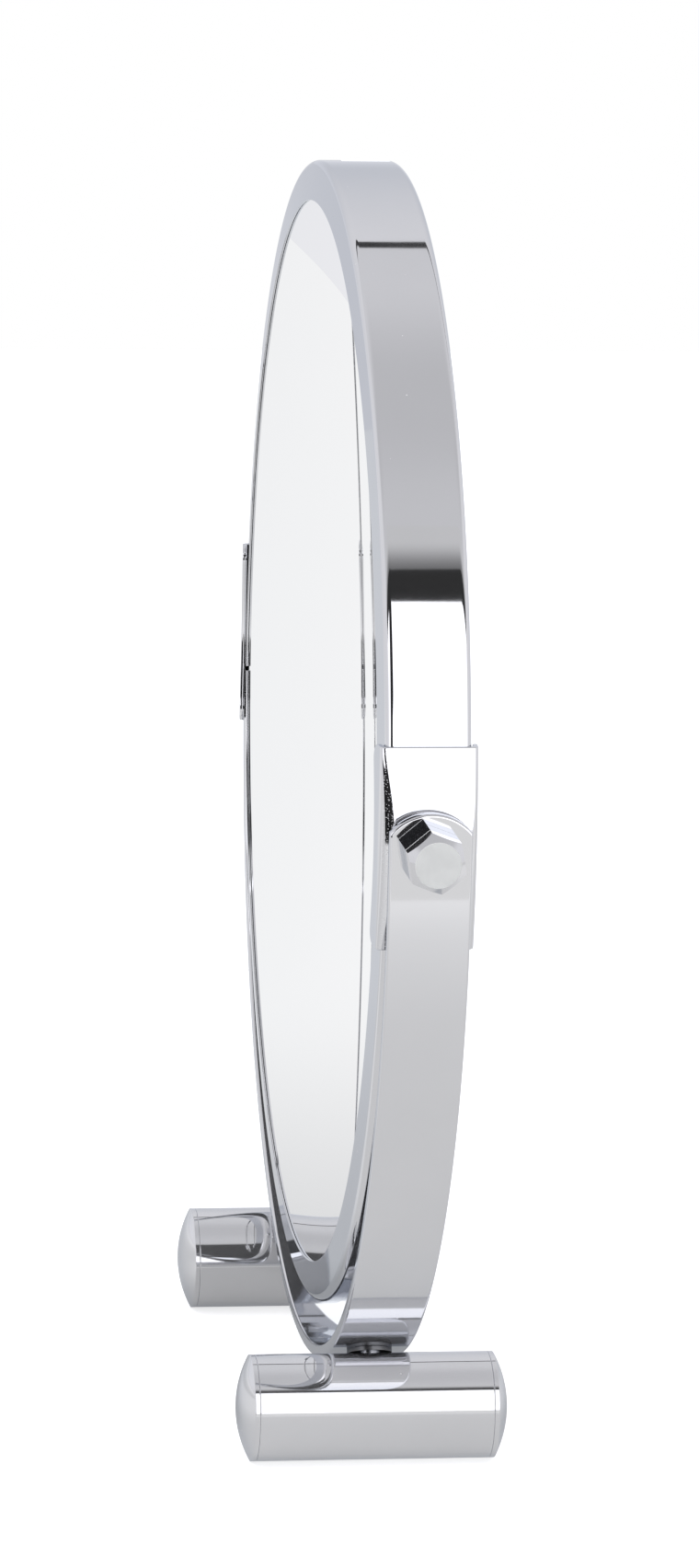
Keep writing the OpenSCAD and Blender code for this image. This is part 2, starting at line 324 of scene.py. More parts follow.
def fillet(centre_u, centre_v, radius, start, end, count):
    """Points and outward normals along an arc, angles in degrees."""
    out = []
    for k in range(count + 1):
        angle = math.radians(start + (end - start) * k / count)
        u, v = math.cos(angle), math.sin(angle)
        out.append(((centre_u + radius * u, centre_v + radius * v), (u, v)))
    return out


def spun(profile, count, closed_profile=False):
    """Turns a profile round the Z axis. Each of its entries is ((radius, height), normal), and a
    radius of 0 makes a pole."""
    points, normals, faces, rings = [], [], [], []
    for (radius, height), (nr, nh) in profile:
        if radius == 0:
            rings.append([len(points)] * count)
            points.append(Vector((0, 0, height)))
            normals.append(Vector((0, 0, nh)))
            continue
        ring = []
        for k in range(count):
            angle = 2 * math.pi * k / count
            c, s = math.cos(angle), math.sin(angle)
            ring.append(len(points))
            points.append(Vector((radius * c, radius * s, height)))
            normals.append(Vector((nr * c, nr * s, nh)))
        rings.append(ring)
    pairs = list(zip(rings, rings[1:]))
    if closed_profile:
        pairs.append((rings[-1], rings[0]))
    for one, other in pairs:
        for k in range(count):
            corners = (one[k], one[(k + 1) % count], other[(k + 1) % count], other[k])
            face = list(dict.fromkeys(corners))
            if len(face) > 2:
                faces.append(face)
    return points, normals, faces


def placed(shape, matrix):
    """The same shape after a move; a mirroring move also turns its faces round."""
    points, normals, faces = shape
    turn = matrix.to_3x3().inverted().transposed()
    flip = matrix.determinant() < 0
    return (
        [matrix @ p for p in points],
        [(turn @ n).normalized() for n in normals],
        [list(reversed(f)) if flip else f for f in faces],
    )


def bent_plate(rows, thick, edge, bend, steps=5):
    """A sheet with rounded edges. rows is a grid of flat points (u, v) that ends the width of the
    rounding, edge, inside the outline. bend takes a flat point and a depth, and gives the bent
    point, the directions in which u and v run there, and the sheet's normal."""
    count_u, count_v = len(rows), len(rows[0])
    rim = [(i, 0) for i in range(count_u)]
    rim += [(count_u - 1, j) for j in range(1, count_v)]
    rim += [(i, count_v - 1) for i in range(count_u - 2, -1, -1)]
    rim += [(0, j) for j in range(count_v - 2, 0, -1)]
    points, normals, faces = [], [], []
    index = {}

    def add(u, v, depth, out_u, out_v, up):
        """Adds a bent point; the last three numbers are its normal in the flat sheet."""
        place, along, across, normal = bend(u, v, depth)
        points.append(place)
        normals.append((along * out_u + across * out_v + normal * up).normalized())
        return len(points) - 1

    for face_side in (-1, 1):
        for i in range(count_u):
            for j in range(count_v):
                u, v = rows[i][j]
                index[face_side, i, j] = add(u, v, face_side * thick / 2, 0, 0, face_side)
        for i in range(count_u - 1):
            for j in range(count_v - 1):
                corners = [(i, j), (i + 1, j), (i + 1, j + 1), (i, j + 1)]
                face = [index[face_side, a, b] for a, b in corners]
                faces.append(face if face_side > 0 else face[::-1])
    outwards = []
    for k, (i, j) in enumerate(rim):
        before = Vector(rows[rim[k - 1][0]][rim[k - 1][1]])
        here = Vector(rows[i][j])
        after = Vector(rows[rim[(k + 1) % len(rim)][0]][rim[(k + 1) % len(rim)][1]])
        tangent = (here - before).normalized() + (after - here).normalized()
        outwards.append(Vector((tangent.y, -tangent.x)).normalized())
    loops = [[index[-1, i, j] for i, j in rim]]
    for step in range(steps + 1):
        angle = math.radians(-90 + 180 * step / steps)
        c, s = math.cos(angle), math.sin(angle)
        depth = math.copysign(thick / 2 - edge, step - steps / 2) + edge * s
        loop = []
        for (i, j), out in zip(rim, outwards):
            u = rows[i][j][0] + out.x * edge * c
            v = rows[i][j][1] + out.y * edge * c
            loop.append(add(u, v, depth, out.x * c, out.y * c, s))
        loops.append(loop)
    loops.append([index[1, i, j] for i, j in rim])
    for low, high in zip(loops[1:-2], loops[2:-1]):
        for k in range(len(rim)):
            n = (k + 1) % len(rim)
            faces.append([low[k], low[n], high[n], high[k]])
    # The first and last loops of the rounding lie on the flat faces' own rim: sew them together
    sewn = dict(zip(loops[1], loops[0]))
    sewn.update(zip(loops[-2], loops[-1]))
    faces = [[sewn.get(k, k) for k in face] for face in faces]
    kept = sorted({k for face in faces for k in face})
    new = {old: place for place, old in enumerate(kept)}
    return (
        [points[k] for k in kept],
        [normals[k] for k in kept],
        [[new[k] for k in face] for face in faces],
    )


# Settings

def distance(name, description, millimetres):
    """A length that is kept in metres and shown in the scene's unit."""
    return bpy.props.FloatProperty(
        name=name, description=description, subtype="DISTANCE", default=millimetres * MM
    )


def tint(name, description, default):
    """A colour without its opacity."""
    return bpy.props.FloatVectorProperty(
        name=name, description=description, subtype="COLOR", size=3, min=0, max=1, default=default
    )


class MirrorLooks(bpy.types.PropertyGroup):
    """Finish of the metal and the glass."""

    chrome: tint("Chrome", "Colour of the plating", (0.77, 0.771, 0.788))
    glass: tint(
        "Silvered glass", "Colour of the silvering through the glass", (0.93, 0.94, 0.945)
    )
    chrome_rim: tint(
        "Chrome at a slant", "How much of the plating's colour is left at a slant",
        (0.725, 0.75, 0.79),
    )
    zinc: tint("Zinc", "Colour of the matte crown on a bolt head", (0.73, 0.74, 0.725))
    nylon: tint("Nylon", "Colour of the washers and the spacer", (0.02, 0.02, 0.022))
    skin_depth: bpy.props.FloatProperty(
        name="Skin depth", description="Height of the fine skin on the plating, millimetres",
        default=0.00025, min=0, max=0.01, precision=5,
    )
    speck_height: bpy.props.FloatProperty(
        name="Speck height", description="Height of a speck in the plating, millimetres",
        default=0.002, min=0, max=0.2, precision=4,
    )


class MirrorSheet(bpy.types.PropertyGroup):
    """Sizes of the sheet parts, which follow the frame."""

    ring_sheet: distance("Ring sheet", "Thickness of the rolled ring at its lips", 0.35)
    ring_corner: distance("Ring corner", "Outside radius of the rolled corners", 1.25)
    flange_rise: distance(
        "Flange rise", "How far a flange's inner edge stands out past its bend", 0.45
    )
    lip: distance("Lip", "How far the flanges reach in", 6.3)
    seam_gap: distance("Seam gap", "Gap between the ends of the ring", 0.9)
    seam_drop: distance("Seam drop", "Depth of that gap below the tilt axis", 5.9)
    clip_sheet: distance("Clip sheet", "Thickness of a clip", 0.8)
    clip_reach: distance("Clip reach", "How far a cheek reaches in over the ring", 4.0)
    clip_bend: distance("Clip bend", "Outside radius of a clip's bends at its ends", 0.86)
    clip_swell: distance(
        "Clip swell", "How much larger the front bend's radius is at its middle", 1.8
    )
    cheek_corner: distance("Cheek corner", "Radius of a cheek's inner corners", 2.5)
    cheek_lean: bpy.props.FloatProperty(
        name="Cheek lean", description="How far a clip's cheek leans out, as a slope", default=0.1
    )
    cut_edge: distance("Cut edge", "Rounding of a clip's cut edges", 0.18)
    strip: distance("Strip", "Thickness of the yoke's strip", 2.0)
    strip_edge: distance("Strip edge", "Rounding of the strip's long edges", 0.4)
    leg_end: distance("Leg end", "Radius of a leg's rounded end", 8.0)
    yoke_drop: distance("Yoke drop", "Depth of the half circle's centre below the tilt axis", 5.2)
    cap_rim: distance("Cap rim", "Straight rim of an end cap", 0.8)
    tube_wall: distance("Tube wall", "Wall of a foot tube", 1.0)


class StudioLight(bpy.types.PropertyGroup):
    """The light tent round the mirror."""

    floor: tint("Floor", "Colour of the floor", (0.86, 0.865, 0.875))
    fill: bpy.props.FloatProperty(
        name="Fill", description="Strength of the light from all round", default=0.8, min=0
    )
    lamp: bpy.props.FloatProperty(
        name="Lamp", description="Power of the soft lamp overhead, in watts", subtype="POWER",
        default=3.0, min=0,
    )
    front: bpy.props.FloatProperty(
        name="Front wall", description="Brightness of the wall in front, in reflections",
        default=1.75, min=0,
    )
    back: bpy.props.FloatProperty(
        name="Back wall", description="Brightness of the wall behind, in reflections",
        default=0.84, min=0,
    )
    ceiling: bpy.props.FloatProperty(
        name="Ceiling", description="Brightness of the ceiling, in reflections", default=0.755,
        min=0,
    )


def settings():
    """The three groups of settings."""
    scene = bpy.context.scene
    return scene.mirror_looks, scene.mirror_sheet, scene.mirror_studio


# Pieces

def channel_points(sheet):
    """The ring's section as a closed line of (radius from the ring's outside, depth).

    A point stands close to each end of every flat, so that the shading stays flat up to it. Last,
    the flanges are bent outwards towards the opening.
    """
    thick, outer, half = sheet.ring_sheet, sheet.ring_corner, RING_HALF
    inner = max(outer - thick, 0.2 * MM)
    soft = 0.08 * MM
    near = 0.04 * MM
    outer_steps, fine_steps = 14, 5
    lip = -sheet.lip + soft
    turn_u = -thick - inner
    turn_v = half - thick - inner
    line = []

    def flat(u0, v0, u1, v1):
        """Two points near the ends of a straight stretch and one at its middle."""
        length = math.hypot(u1 - u0, v1 - v0)
        for d in (near, length / 2, length - near):
            line.append((u0 + (u1 - u0) * d / length, v0 + (v1 - v0) * d / length))

    def corner(u, v, radius, start, end, count=fine_steps):
        line.extend(point for point, _ in fillet(u, v, radius, start, end, count))

    corner(-outer, half - outer, outer, 0, 90, outer_steps)
    flat(-outer, half, lip, half)
    corner(lip, half - soft, soft, 90, 180)
    corner(lip, half - thick + soft, soft, 180, 270)
    flat(lip, half - thick, turn_u, half - thick)
    corner(turn_u, turn_v, inner, 90, 0)
    flat(-thick, turn_v, -thick, -turn_v)
    corner(turn_u, -turn_v, inner, 0, -90)
    flat(turn_u, -(half - thick), lip, -(half - thick))
    corner(lip, -(half - thick + soft), soft, 90, 180)
    corner(lip, -(half - soft), soft, 180, 270)
    flat(lip, -half, -outer, -half)
    corner(-outer, -(half - outer), outer, -90, 0, outer_steps)
    flat(0, -(half - outer), 0, half - outer)
    slope = sheet.flange_rise / (sheet.lip - outer)
    return [(u, v + math.copysign(max(0.0, -u - outer) * slope, v)) for u, v in line]


def sweep_tree():
    """Nodes that carry a section along an arc and close its two ends, and their inputs' names."""
    tree = bpy.data.node_groups.new("rolled_section", "GeometryNodeTree")
    face = tree.interface
    face.new_socket("Geometry", in_out="OUTPUT", socket_type="NodeSocketGeometry")
    names = {}
    for name, kind in (
        ("Section", "NodeSocketObject"),
        ("Radius", "NodeSocketFloat"),
        ("Start", "NodeSocketFloat"),
        ("Sweep", "NodeSocketFloat"),
        ("Steps", "NodeSocketInt"),
        ("Finish", "NodeSocketMaterial"),
    ):
        made = face.new_socket(name, in_out="INPUT", socket_type=kind)
        names[name] = made.identifier
    nodes, link = tree.nodes, tree.links.new
    given = nodes.new("NodeGroupInput")
    section = nodes.new("GeometryNodeObjectInfo")
    link(given.outputs["Section"], section.inputs["Object"])
    arc = nodes.new("GeometryNodeCurveArc")
    for name, socket in (
        ("Radius", "Radius"),
        ("Start", "Start Angle"),
        ("Sweep", "Sweep Angle"),
        ("Steps", "Resolution"),
    ):
        link(given.outputs[name], arc.inputs[socket])
    upright = nodes.new("GeometryNodeSetCurveNormal")
    upright.mode = "Z_UP"
    link(arc.outputs["Curve"], upright.inputs["Curve"])
    carried = nodes.new("GeometryNodeCurveToMesh")
    carried.inputs["Fill Caps"].default_value = True
    link(upright.outputs["Curve"], carried.inputs["Curve"])
    link(section.outputs["Geometry"], carried.inputs["Profile Curve"])
    shaded = nodes.new("GeometryNodeSetShadeSmooth")
    link(carried.outputs["Mesh"], shaded.inputs["Geometry"])
    real = nodes.new("GeometryNodeRealizeInstances")
    link(shaded.outputs["Geometry"], real.inputs["Geometry"])
    finish = nodes.new("GeometryNodeSetMaterial")
    link(real.outputs["Geometry"], finish.inputs["Geometry"])
    link(given.outputs["Finish"], finish.inputs["Material"])
    out = nodes.new("NodeGroupOutput")
    link(finish.outputs["Geometry"], out.inputs["Geometry"])
    return tree, names


def mesh_from_tree(tree, values):
    """Runs a node tree once and keeps its result as a plain mesh."""
    carrier = bpy.data.objects.new("carrier", bpy.data.meshes.new("carrier"))
    bpy.context.scene.collection.objects.link(carrier)
    modifier = carrier.modifiers.new("shape", "NODES")
    modifier.node_group = tree
    for identifier, value in values.items():
        modifier[identifier] = value
    carrier.data.update()
    graph = bpy.context.evaluated_depsgraph_get()
    made = bpy.data.meshes.new_from_object(carrier.evaluated_get(graph), depsgraph=graph)
    carrier.modifiers.remove(modifier)
    bpy.data.objects.remove(carrier)
    return made


def closed_line(name, points):
    """A closed curve object through flat points."""
    curve = bpy.data.curves.new(name, "CURVE")
    curve.dimensions = "2D"
    spline = curve.splines.new("POLY")
    spline.points.add(len(points) - 1)
    for point, (u, v) in zip(spline.points, points):
        point.co = (u, v, 0, 1)
    spline.use_cyclic_u = True
    made = bpy.data.objects.new(name, curve)
    bpy.context.scene.collection.objects.link(made)
    return made


class MIRROR_OT_ring(bpy.types.Operator):
    """The rolled channel ring with its open seam"""

    bl_idname = "mirror.ring"
    bl_label = "Rolled ring"
    steps_round = 721

    def execute(self, context):
        looks, sheet, _ = settings()
        metal = plated_metal("ring_chrome", looks)
        seam_low, seam_high = (
            math.atan2(-sheet.seam_drop + side * sheet.seam_gap / 2, -RING_R) for side in (-1, 1)
        )
        section = closed_line("section", channel_points(sheet))
        tree, names = sweep_tree()
        mesh = mesh_from_tree(tree, {
            names["Section"]: section,
            names["Radius"]: RING_R,
            names["Start"]: seam_low,
            names["Sweep"]: 2 * math.pi - abs(seam_high - seam_low),
            names["Steps"]: self.steps_round,
            names["Finish"]: metal,
        })
        bpy.data.objects.remove(section)
        # The arc lies flat: stand it up so that its section's depth runs along Y
        mesh.transform(LIFT @ Matrix.Rotation(math.pi / 2, 4, "X"))
        work = bmesh.new()
        work.from_mesh(mesh)
        bmesh.ops.recalc_face_normals(work, faces=work.faces)
        work.to_mesh(mesh)
        work.free()
        finished("rolled_ring", mesh, metal, HEAD, "chrome", "ring_frame")
        return {"FINISHED"}


class MIRROR_OT_clips(bpy.types.Operator):
    """The two saddle clips over the ring at the pivots"""

    bl_idname = "mirror.clips"
    bl_label = "Saddle clips"

    def execute(self, context):
        looks, sheet, _ = settings()
        metal = plated_metal("clip_chrome", looks, pit_share=0.5)
        thick, edge = sheet.clip_sheet, sheet.cut_edge
        top = (CLIP_HIGH.z - CLIP_LOW.z) / 2 - edge
        half = (CLIP_HIGH.y - CLIP_LOW.y) / 2
        bend_r = sheet.clip_bend - thick / 2
        cheek_in = RING_R - sheet.clip_reach + edge
        mid_r, mid_y = CLIP_HIGH.x - thick / 2, half - thick / 2
        lean = math.atan(sheet.cheek_lean)
        cheek = mid_r - bend_r - cheek_in
        web = 2 * (mid_y - bend_r)
        arc = bend_r * math.pi / 2
        length = 2 * cheek + 2 * arc + web

        def section(s, own, other):
            """Radius, depth and the direction of travel at a distance along the section, whose
            bends have the radius own on this side of its middle and other beyond it."""
            if s > length / 2:
                r, y, along_r, along_y = section(length - s, other, own)
                return r, -y, -along_r, along_y
            foot = mid_r - own * (1 - math.sin(lean))
            cheek_y = mid_y - own * (1 - math.cos(lean))
            if s <= cheek:
                r = cheek_in + s * (foot - cheek_in) / cheek
                y = -cheek_y - (foot - r) * math.tan(lean)
                return r, y, math.cos(lean), math.sin(lean)
            s -= cheek
            if s <= arc:
                a = lean + (math.pi / 2 - lean) * s / arc
                r, y = mid_r - own + own * math.sin(a), -mid_y + own - own * math.cos(a)
                return r, y, math.cos(a), math.sin(a)
            share = (s - arc) / web
            return mid_r, own - mid_y + share * (2 * mid_y - own - other), 0.0, 1.0

        def bend(s, z, depth):
            """s runs along the section from one cheek's edge to the other's, z up the clip."""
            own = bend_r + sheet.clip_swell * max(0.0, 1 - (z / top) ** 2) ** 1.5
            r, y, along_r, along_y = section(s, own, bend_r)
            r, y = r + along_y * depth, y - along_r * depth
            x = math.sqrt(r * r - z * z)
            out = Vector((x / r, 0, z / r))
            along = (out * along_r + Vector((0, along_y, 0))).normalized()
            normal = (out * along_y - Vector((0, along_r, 0))).normalized()
            return Vector((x, y, z)), along, normal.cross(along), normal

        rows = self.outline(sheet.cheek_corner - edge, cheek, arc, web, top)
        for side, name in ((1, "right"), (-1, "left")):
            move = LIFT @ Matrix.Scale(side, 4, ALONG_X)
            mesh = shape_mesh(placed(bent_plate(rows, thick, edge, bend), move))
            finished(f"saddle_clip_{name}", mesh, metal, HEAD, "chrome", f"clip_{name}")
        return {"FINISHED"}

    def outline(self, corner, cheek, arc, web, top):
        """Rows of flat points over the whole clip, closer together where it bends."""
        corner_steps, bend_steps, levels = 8, 14, 48
        near = 0.03 * MM
        corner_line = fillet(corner, top - corner, corner, 180, 90, corner_steps)
        stops = [point for point, _ in corner_line]
        inner = [corner + near, cheek - near]
        inner += [cheek + arc * k / bend_steps for k in range(bend_steps + 1)]
        inner += [cheek + arc + near, cheek + arc + web / 2]
        stops += [(s, top) for s in inner]
        length = 2 * cheek + 2 * arc + web
        stops += [(length - s, limit) for s, limit in reversed(stops) if s < length / 2 - near]
        shares = [2 * j / levels - 1 for j in range(levels + 1)]
        return [[(s, limit * share) for share in shares] for s, limit in stops]


class MIRROR_OT_yoke(bpy.types.Operator):
    """The bent strip that holds the ring"""

    bl_idname = "mirror.yoke"
    bl_label = "Yoke"

    def execute(self, context):
        looks, sheet, _ = settings()
        metal = plated_metal(
            "strip_chrome", looks, ripple=0.003, gloss_loss=0.04, painted_lift_below=PAINTED_LIFT_HEIGHT
        )
        thick, edge = sheet.strip, sheet.strip_edge
        mid = YOKE_HIGH.x - thick / 2
        centre = Vector((0, 0, PIVOT.z - sheet.yoke_drop))
        leg = YOKE_HIGH.z - centre.z
        bow = math.pi * mid
        sideways = Vector(ALONG_Y)

        def bend(u, v, depth):
            """u runs from one leg's end over the bottom to the other, v across the strip."""
            a = -min(max(u - leg, 0.0), bow) / mid
            out = Vector((math.cos(a), 0, math.sin(a)))
            along = Vector((math.sin(a), 0, -math.cos(a)))
            straight = min(u - leg, 0.0) + max(u - leg - bow, 0.0)
            point = centre + out * (mid + depth) + along * straight + sideways * v
            return point, along, sideways, out

        half = (YOKE_HIGH.y - YOKE_LOW.y) / 2 - edge
        rows = self.rows(half, sheet.leg_end, sheet.leg_end - edge, leg, bow)
        mesh = shape_mesh(bent_plate(rows, thick, edge, bend, steps=9))
        finished("bent_yoke", mesh, metal, STAND, "chrome", "yoke")
        return {"FINISHED"}

    def rows(self, half, leg_end, end_r, leg, bow):
        """Rows of flat points across the strip. The first and last follow its rounded ends, and
        settled is where they have become straight."""
        across_steps, end_steps, leg_steps, bow_steps = 16, 10, 3, 240
        settled = 7 * MM
        across = [-half + 2 * half * j / across_steps for j in range(across_steps + 1)]
        rows = []
        for k in range(end_steps):
            level = k / end_steps
            rows.append([
                ((leg_end - math.sqrt(end_r ** 2 - v ** 2)) * (1 - level) + settled * level, v)
                for v in across
            ])
        length = 2 * leg + bow
        middle = [settled + (leg - settled) * k / leg_steps for k in range(leg_steps + 1)]
        middle += [leg + bow * k / bow_steps for k in range(1, bow_steps)]
        middle += [length - u for u in reversed(middle[:leg_steps + 1])]
        rows += [[(u, v) for v in across] for u in middle]
        rows += [[(length - u, v) for u, v in row] for row in reversed(rows[:end_steps])]
        return rows


class MIRROR_OT_glass(bpy.types.Operator):
    """The hollow magnifying glass and the flat glass behind it"""

    bl_idname = "mirror.glass"
    bl_label = "Glasses"

    def execute(self, context):
        looks, sheet, _ = settings()
        silver = self.silvered(looks)
        for name, node, side in (
            ("hollow_glass", "front_glass", -1),
            ("flat_glass", "rear_glass", 1),
        ):
            low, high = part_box(node)
            dip = high.y - low.y - GLASS_THICK
            shape, face = self.disc(sheet, high.z - PIVOT.z, dip)
            move = LIFT @ Matrix.Scale(-side, 4, ALONG_Y) @ Matrix.Translation((0, -face, 0))
            mesh = shape_mesh(placed(shape, move))
            finished(name, mesh, silver, HEAD, "silvered_glass", node)
        return {"FINISHED"}

    def disc(self, sheet, radius, dip):
        """A glass that looks along -Y, and how far in front of the ring's middle its face lies.

        Its rim follows the bent flange, and inside the opening it is hollow by dip.
        """
        face_steps, edge_steps, turn_steps = 40, 5, 256
        soft = GLASS_EDGE
        inner = radius - soft
        opening = RING_R - sheet.lip + 0.05 * MM
        slope = sheet.flange_rise / (sheet.lip - sheet.ring_corner)
        raised = (RING_R - sheet.ring_corner - opening) * slope
        bow = (opening ** 2 + dip ** 2) / (2 * dip) if dip > soft else None

        def hollow(r):
            """Depth of the face at radius r and the slope of its normal."""
            if r > opening + 0.01 * MM:
                return (r - opening) * slope, -slope
            if bow is None:
                return 0.0, 0.0
            return dip - (bow - math.sqrt(bow ** 2 - r ** 2)), r / bow

        front, back = [], []
        reach = [opening * k / face_steps for k in range(face_steps + 1)]
        for r in (*reach, opening + 0.02 * MM, inner):
            depth, lean = hollow(r)
            rise = math.sqrt(1 - lean ** 2)
            front.append(((r, depth), (-lean, -rise)))
            back.append(((r, depth + GLASS_THICK), (lean, rise)))
        start, _ = hollow(inner)
        front += fillet(inner, start + soft, soft, -90, 0, edge_steps)[1:]
        front.append(((radius, start + GLASS_THICK - 2 * soft), (1, 0)))
        front += fillet(inner, start + GLASS_THICK - soft, soft, 0, 90, edge_steps)[1:]
        # The profile's height runs into the glass from its face, which here is along +Y
        shape = spun(front + back[-2::-1], turn_steps)
        face = RING_HALF - sheet.ring_sheet - GLASS_PLAY + raised
        return placed(shape, Matrix.Rotation(-math.pi / 2, 4, "X")), face

    def silvered(self, looks):
        """Silvering under clear glass, with a little dust and a few wipe marks."""
        made, wiring = new_material("silvered_glass_face", solid(looks.glass))
        place = wiring.place()
        wipes = wiring.noise(place, 45.0, 4.0, 0.6).rise(0.45, 0.8)
        dust = specks(wiring, place, scale=700.0, size=0.12, share=0.03)
        tone = wiring.mix(wipes * 0.35, solid(looks.glass), solid(looks.glass, 0.97))
        shader = wiring.node(
            "ShaderNodeBsdfPrincipled",
            inputs={
                "Base Color": tone,
                "Metallic": 1.0,
                "Roughness": (wipes * 0.012 + dust * 0.25 + 0.004).low(1.0),
                "Coat Weight": 1.0,
                "Coat Roughness": 0.0,
                "Coat IOR": 1.5,
            },
        )
        wiring.end_with(shader)
        return made


class MIRROR_OT_feet(bpy.types.Operator):
    """The foot tubes and their domed caps"""

    bl_idname = "mirror.feet"
    bl_label = "Feet"
    soft = 0.12 * MM
    soft_steps = 4
    turn_steps = 192

    def execute(self, context):
        looks, sheet, _ = settings()
        metal = plated_metal("foot_chrome", looks, painted_lift_below=PAINTED_LIFT_HEIGHT)
        half = TUBE_HIGH.y
        tube = self.tube(half, TUBE_R - sheet.tube_wall)
        cap = self.cap(sheet.cap_rim, CAP_TIP - half - sheet.cap_rim)
        lie = Matrix.Rotation(-math.pi / 2, 4, "X")
        for side, name in ((1, "right"), (-1, "left")):
            centre = Matrix.Translation((side * TUBE_X, 0, TUBE_R))
            mesh = shape_mesh(placed(tube, centre @ lie))
            finished(f"tube_{name}", mesh, metal, STAND, "chrome", f"foot_tube_{name}")
            for way, end in ((-1, "front"), (1, "rear")):
                turn = centre @ Matrix.Scale(way, 4, ALONG_Y)
                mesh = shape_mesh(placed(cap, turn @ Matrix.Translation((0, half, 0)) @ lie))
                whole = f"{name}_{end}"
                finished(f"cap_{whole}", mesh, metal, STAND, "chrome", f"foot_cap_{whole}")
        return {"FINISHED"}

    def tube(self, half, inner):
        """A tube round Z with softened outer edges."""
        soft = self.soft
        line = fillet(TUBE_R - soft, soft - half, soft, -90, 0, self.soft_steps)
        line += fillet(TUBE_R - soft, half - soft, soft, 0, 90, self.soft_steps)
        for height, normals in ((half, ((0, 1), (-1, 0))), (-half, ((-1, 0), (0, -1)))):
            line += [((inner, height), normal) for normal in normals]
        return spun(line, self.turn_steps, closed_profile=True)

    def cap(self, rim, dome):
        """An end cap round Z: a flat base, a straight rim and a domed end."""
        soft, dome_steps = self.soft, 24
        ball = (TUBE_R ** 2 + dome ** 2) / (2 * dome)
        first = math.degrees(math.acos(TUBE_R / ball))
        line = [((0.0, 0.0), (0, -1)), ((TUBE_R - soft, 0.0), (0, -1))]
        line += fillet(TUBE_R - soft, soft, soft, -90, 0, self.soft_steps)[1:]
        line.append(((TUBE_R, rim - soft), (1, 0)))
        line += fillet(0, rim + dome - ball, ball, first, 90, dome_steps)[:-1]
        line.append(((0.0, rim + dome), (0, 1)))
        return spun(line, self.turn_steps)


class MIRROR_OT_pivots(bpy.types.Operator):
    """Finishes of the bolts, nuts and washers and of the parts that are hidden"""

    bl_idname = "mirror.pivots"
    bl_label = "Pivots"

    def execute(self, context):
        looks, _, _ = settings()
        turned = {"looks": looks, "ripple": 0.002}
        # Painted highlight: a light band at the nut's end, next to the bolt head, for the lit
        # groove
        groove_glint = (NUT_TIP - 0.32 * MM, NUT_TIP + 0.1 * MM)
        nut = plated_metal("nut_plating", gloss_loss=0.06, speck_share=0.2, glint_span=groove_glint, **turned)
        steel = plated_metal("steel_plating", gloss_loss=0.16, **turned)
        # Painted shade: the foot washers are made dark so the crevice under the yoke looks shaded
        dark = plated_metal("washer_painted_shade", lightness=0.2, gloss_loss=0.3, **turned)
        nylon = self.nylon(looks)
        finishes = {
            "pivot_bolt": self.zinc(looks),
            "lock_nut": nut,
            "friction_washer": nylon,
            "anchor_bar": steel,
            "foot_core": steel,
            "foot_washer": dark,
            "foot_screw": steel,
        }
        for node, finish in finishes.items():
            for side in ("right", "left"):
                dress(f"{node}_{side}", finish)
        dress("spacer_ring", nylon)
        return {"FINISHED"}

    def zinc(self, looks):
        """Bright sides and a matte, faintly grained crown."""
        made, wiring = new_material("bolt_zinc", solid(looks.zinc))
        place = wiring.place()
        crown = abs(wiring.axes(place)[0]).rise(BOLT_TIP - 0.12 * MM, BOLT_TIP - 0.04 * MM)
        grain = wiring.noise(place, 2600.0, 3.0, 0.6)
        cloud = wiring.noise(place, 420.0, 3.0).rise(0.3, 0.7)
        matte = wiring.mix(cloud, solid(looks.zinc), solid(looks.zinc, 1.06))
        shader = wiring.node(
            "ShaderNodeBsdfPrincipled",
            inputs={
                "Base Color": wiring.mix(crown, solid(looks.chrome), matte),
                "Metallic": 1.0 - crown * 0.85,
                "Roughness": crown * 0.42 + 0.09,
                "Normal": wiring.bump(grain * crown * 0.006),
            },
        )
        wiring.end_with(shader)
        return made

    def nylon(self, looks):
        """Dark plastic with a fine grain."""
        made, wiring = new_material("black_nylon", solid(looks.nylon))
        place = wiring.place()
        grain = wiring.noise(place, 1800.0)
        cloud = wiring.noise(place, 300.0).rise(0.3, 0.7)
        shader = wiring.node(
            "ShaderNodeBsdfPrincipled",
            inputs={
                "Base Color": wiring.mix(cloud, solid(looks.nylon), solid(looks.nylon, 1.5)),
                "Roughness": grain * 0.2 + 0.38,
                "Normal": wiring.bump(grain * 0.01),
            },
        )
        wiring.end_with(shader)
        return made


# Stage

def stage_sheet(name, points, faces, material, only_mirrored=False):
    """A sheet of the stage. One that is only mirrored gives no light and no shadow."""
    mesh = bpy.data.meshes.new(name)
    mesh.from_pydata(points, [], faces)
    mesh.materials.append(material)
    made = bpy.data.objects.new(name, mesh)
    bpy.context.scene.collection.objects.link(made)
    for ray in ("camera", "diffuse", "shadow", "transmission"):
        setattr(made, f"visible_{ray}", not only_mirrored)


